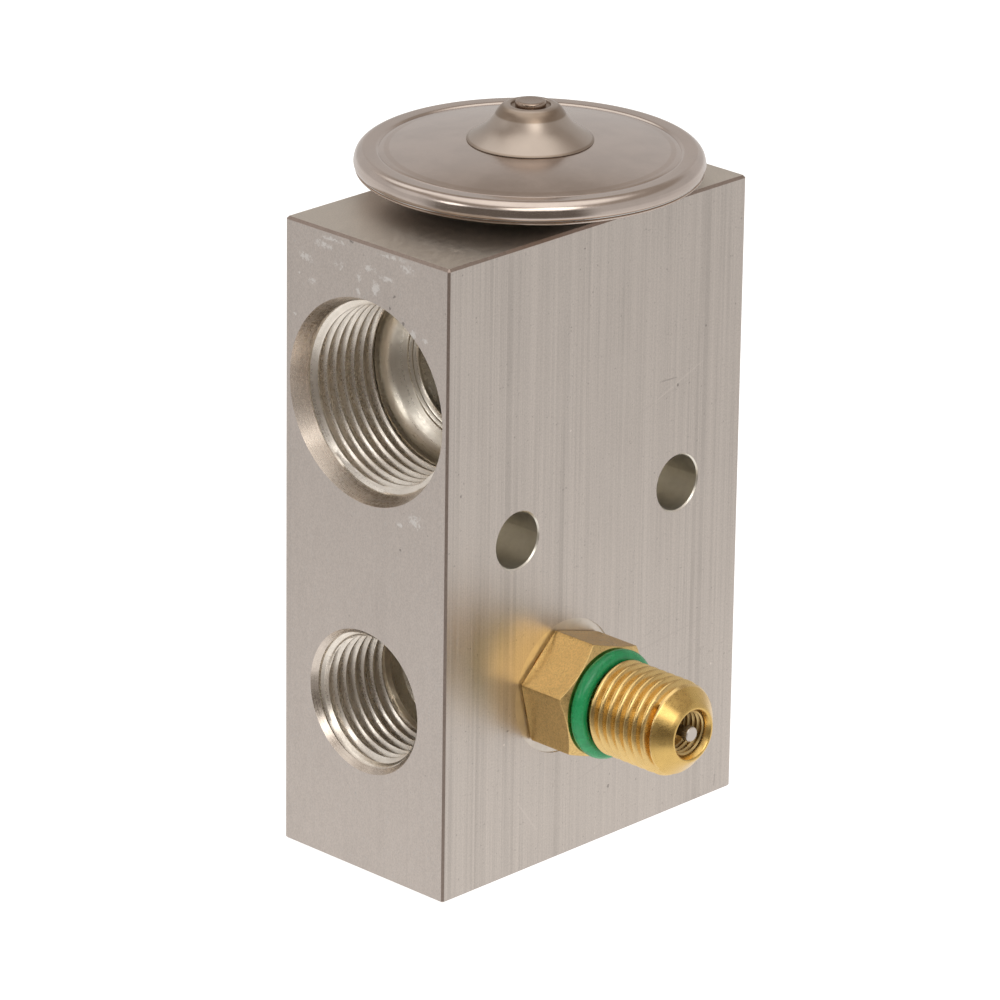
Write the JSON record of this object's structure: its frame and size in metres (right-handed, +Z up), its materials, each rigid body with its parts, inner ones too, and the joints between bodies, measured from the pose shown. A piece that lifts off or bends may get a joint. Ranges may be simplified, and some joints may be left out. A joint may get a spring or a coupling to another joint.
{
  "type": "thermostatic expansion valve",
  "caption": "Block type expansion valve: drilled aluminium body with threaded refrigerant ports, a domed steel sensing element on top and a brass service fitting on one face.",
  "frame": {"origin": "centre of the block's base", "axes": "+Z up towards the power element, -X the end with the liquid inlet and the larger suction port, -Y the face with the service fitting"},
  "size_m": [0.0474, 0.052, 0.0855],
  "materials": {
    "block": "satin, drawn",
    "turned_aluminium": "turned",
    "element": "pressed, half polished",
    "spring_steel": "smooth",
    "hard_steel": "ground",
    "turned_brass": "turned",
    "green_rubber": "smooth",
    "black_rubber": "smooth"
  },
  "bodies": {
    "valve_body": {"valve_block": "block", "upper_cover": "element", "lower_cover": "element", "mounting_collar": "element", "diaphragm": "spring_steel", "charge_hub": "element", "charge_plug": "element", "collar_seal": "green_rubber", "rod_seal": "black_rubber", "seal_retainer": "spring_steel", "valve_spring": "spring_steel", "service_fitting": "turned_brass", "fitting_seal": "black_rubber", "cap_seal": "green_rubber", "core_plug": "turned_brass", "core_barrel": "turned_brass", "core_seal": "black_rubber", "core_spring": "spring_steel"},
    "valve_stem": {"diaphragm_pad": "turned_aluminium", "sensing_rod": "turned_aluminium", "operating_rod": "hard_steel", "valve_ball": "hard_steel", "ball_carrier": "turned_aluminium"},
    "adjuster_carriage": {"adjuster_seal": "green_rubber"},
    "adjuster": {"adjusting_screw": "turned_brass"},
    "core_stem": {"core_pin": "turned_brass", "core_cup": "turned_brass"}
  },
  "joints": [
    {"name": "valve_lift", "type": "slide", "parent": "valve_body", "child": "valve_stem", "axis": [0, 0, -1], "range_m": [0, 0.0008], "stiffness_N_per_m": 6000, "deforming": ["valve_spring"]},
    {"name": "adjuster_feed", "type": "slide", "parent": "valve_body", "child": "adjuster_carriage", "axis": [0, 0, 1], "range_m": [-0.001, 0.001], "deforming": ["valve_spring"]},
    {"name": "adjuster_turn", "type": "hinge", "parent": "adjuster_carriage", "child": "adjuster", "pos_m": [0.00175, 0, 0.0015], "axis": [0, 0, 1], "range_deg": [-360, 360]},
    {"name": "core_press", "type": "slide", "parent": "valve_body", "child": "core_stem", "axis": [0, 1, 0], "range_m": [0, 0.0015], "stiffness_N_per_m": 1500, "deforming": ["core_spring"]}
  ],
  "couplings": [
    {"joint": "adjuster_feed", "follows": "adjuster_turn", "m_per_rad": 0.000159}
  ]
}
